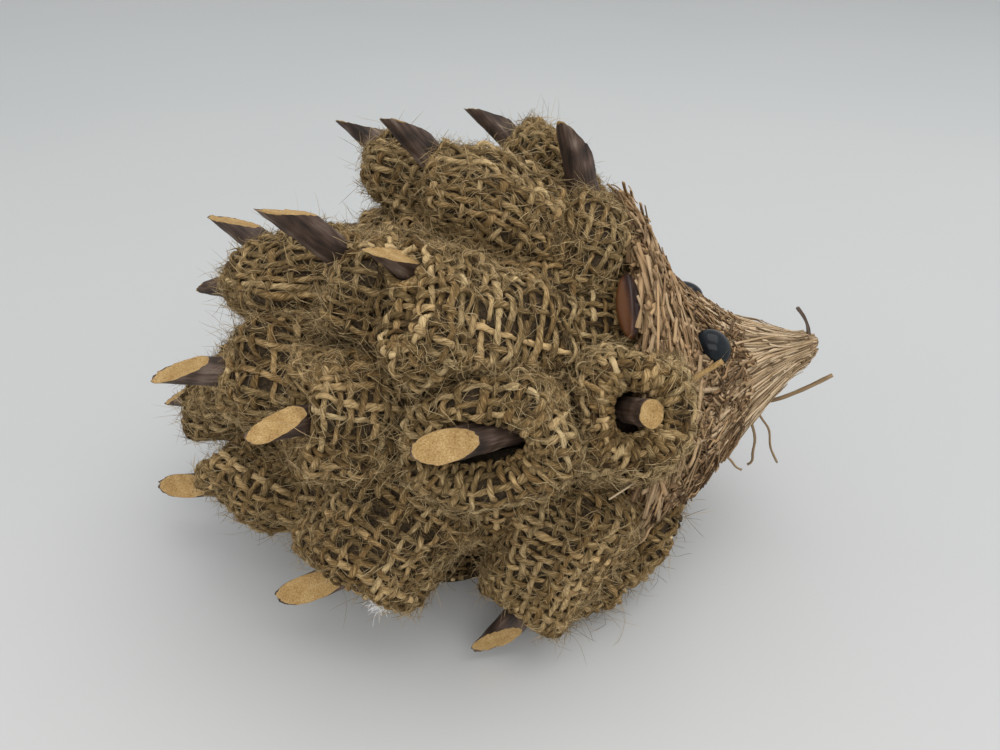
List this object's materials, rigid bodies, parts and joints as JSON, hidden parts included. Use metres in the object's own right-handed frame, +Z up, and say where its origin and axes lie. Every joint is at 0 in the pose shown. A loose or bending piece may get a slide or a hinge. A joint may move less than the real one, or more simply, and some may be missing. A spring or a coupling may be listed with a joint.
{
  "type": "hedgehog pin cushion",
  "caption": "Stuffed ball-shaped hedgehog pin cushion: burlap pouches each holding a slant-cut twig spine, a straw head with bead eyes and pod ears, and a flat round base.",
  "frame": {"origin": "centre of the underside of the flat round base patch", "axes": "+X from the body towards the snout, +Z up, -Y out of the animal's right side"},
  "size_m": [0.1563, 0.1156, 0.1019],
  "materials": {
    "burlap": "coarse loosely woven hairy jute, matt",
    "filling": "white fibre filling, matt",
    "bark": "dark purple-brown bark with pale slant-cut ends",
    "straw": "dry tan straw, low sheen",
    "straw_ruff": "chopped brown straw, matt",
    "seed_pod": "glossy brown dried pod",
    "bead": "polished black"
  },
  "bodies": {
    "root": {"foam_core": "filling", "body_cover": "burlap", "base_patch": "burlap", "head_core": "straw", "straw_ruff": "straw_ruff", "straw_muzzle": "straw", "nose_binding": "straw", "nose_stem": "bark", "eye_right": "bead", "eye_left": "bead", "ear_right": "seed_pod", "ear_left": "seed_pod", "pouch_01": "burlap", "pouch_02": "burlap", "pouch_03": "burlap", "pouch_04": "burlap", "pouch_05": "burlap", "pouch_06": "burlap", "pouch_07": "burlap", "pouch_08": "burlap", "pouch_09": "burlap", "pouch_10": "burlap", "pouch_11": "burlap", "pouch_12": "burlap", "pouch_13": "burlap", "pouch_14": "burlap", "pouch_15": "burlap", "pouch_16": "burlap", "pouch_17": "burlap", "pouch_18": "burlap", "pouch_19": "burlap", "pouch_20": "burlap", "pouch_21": "burlap", "pouch_22": "burlap", "pouch_23": "burlap", "pouch_24": "burlap", "twig_01": "bark", "twig_02": "bark", "twig_03": "bark", "twig_04": "bark", "twig_05": "bark", "twig_06": "bark", "twig_07": "bark", "twig_08": "bark", "twig_09": "bark", "twig_10": "bark", "twig_11": "bark", "twig_12": "bark", "twig_13": "bark", "twig_14": "bark", "twig_15": "bark", "twig_16": "bark", "twig_17": "bark", "twig_18": "bark", "twig_19": "bark", "twig_20": "bark", "twig_21": "bark", "twig_22": "bark", "twig_23": "bark", "twig_24": "bark"}
  },
  "joints": []
}
